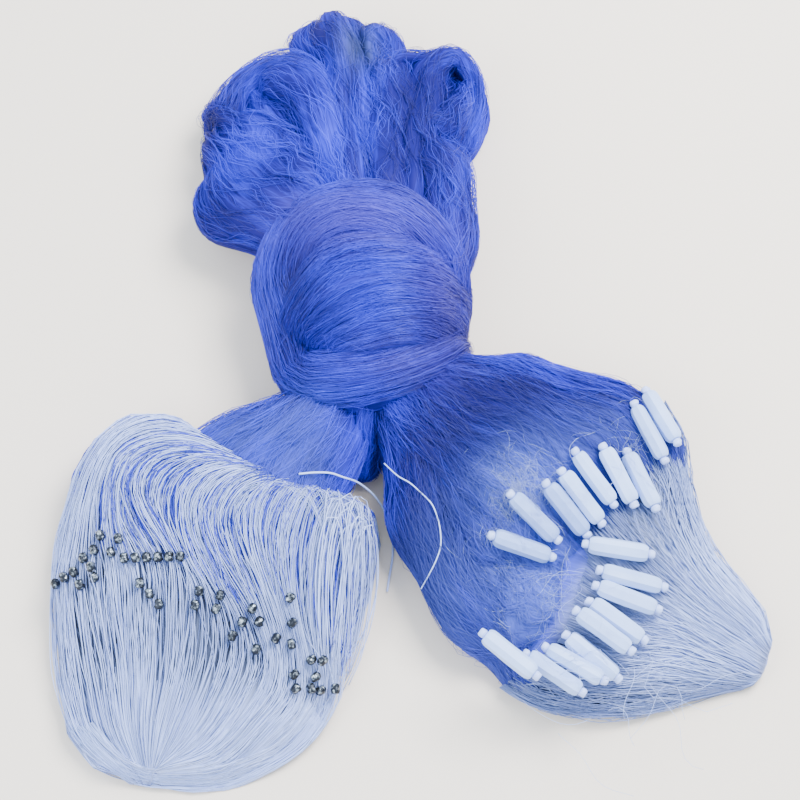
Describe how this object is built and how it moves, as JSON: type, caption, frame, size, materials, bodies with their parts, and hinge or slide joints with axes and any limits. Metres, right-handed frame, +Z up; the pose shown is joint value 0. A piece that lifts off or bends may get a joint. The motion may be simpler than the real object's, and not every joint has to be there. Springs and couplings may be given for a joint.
{
  "type": "trammel net",
  "caption": "Bundled trammel net: gathered blue nylon netting tied in one knot, a looped lead line with leads at one end and a float line with foam floats at the other.",
  "frame": {"origin": "middle of the outline, on the ground that the bundle lies on", "axes": "+Z up, +Y from the skeins towards the loops above the knot, +X towards the floats"},
  "size_m": [0.534, 0.6336, 0.1113],
  "materials": {
    "netting_blue": "fine glossy nylon twine, gathered",
    "line_white": "braided white line, slightly glossy",
    "float_foam": "closed-cell foam, satin",
    "lead_metal": "dark grey lead, worn bright in places"
  },
  "bodies": {
    "root": {"netting": "netting_blue", "lead_line_skein": "line_white", "float_line_skein": "line_white", "loose_line": "line_white", "stray_line": "line_white", "float_01": "float_foam", "float_02": "float_foam", "float_03": "float_foam", "float_04": "float_foam", "float_05": "float_foam", "float_06": "float_foam", "float_07": "float_foam", "float_08": "float_foam", "float_09": "float_foam", "float_10": "float_foam", "float_11": "float_foam", "float_12": "float_foam", "float_13": "float_foam", "float_14": "float_foam", "float_15": "float_foam", "float_16": "float_foam", "float_17": "float_foam", "float_18": "float_foam", "lead_01": "lead_metal", "lead_02": "lead_metal", "lead_03": "lead_metal", "lead_04": "lead_metal", "lead_05": "lead_metal", "lead_06": "lead_metal", "lead_07": "lead_metal", "lead_08": "lead_metal", "lead_09": "lead_metal", "lead_10": "lead_metal", "lead_11": "lead_metal", "lead_12": "lead_metal", "lead_13": "lead_metal", "lead_14": "lead_metal", "lead_15": "lead_metal", "lead_16": "lead_metal", "lead_17": "lead_metal", "lead_18": "lead_metal", "lead_19": "lead_metal", "lead_20": "lead_metal", "lead_21": "lead_metal", "lead_22": "lead_metal", "lead_23": "lead_metal", "lead_24": "lead_metal", "lead_25": "lead_metal", "lead_26": "lead_metal", "lead_27": "lead_metal", "lead_28": "lead_metal", "lead_29": "lead_metal", "lead_30": "lead_metal", "lead_31": "lead_metal", "lead_32": "lead_metal", "lead_33": "lead_metal", "lead_34": "lead_metal", "lead_35": "lead_metal", "lead_36": "lead_metal"}
  },
  "joints": []
}
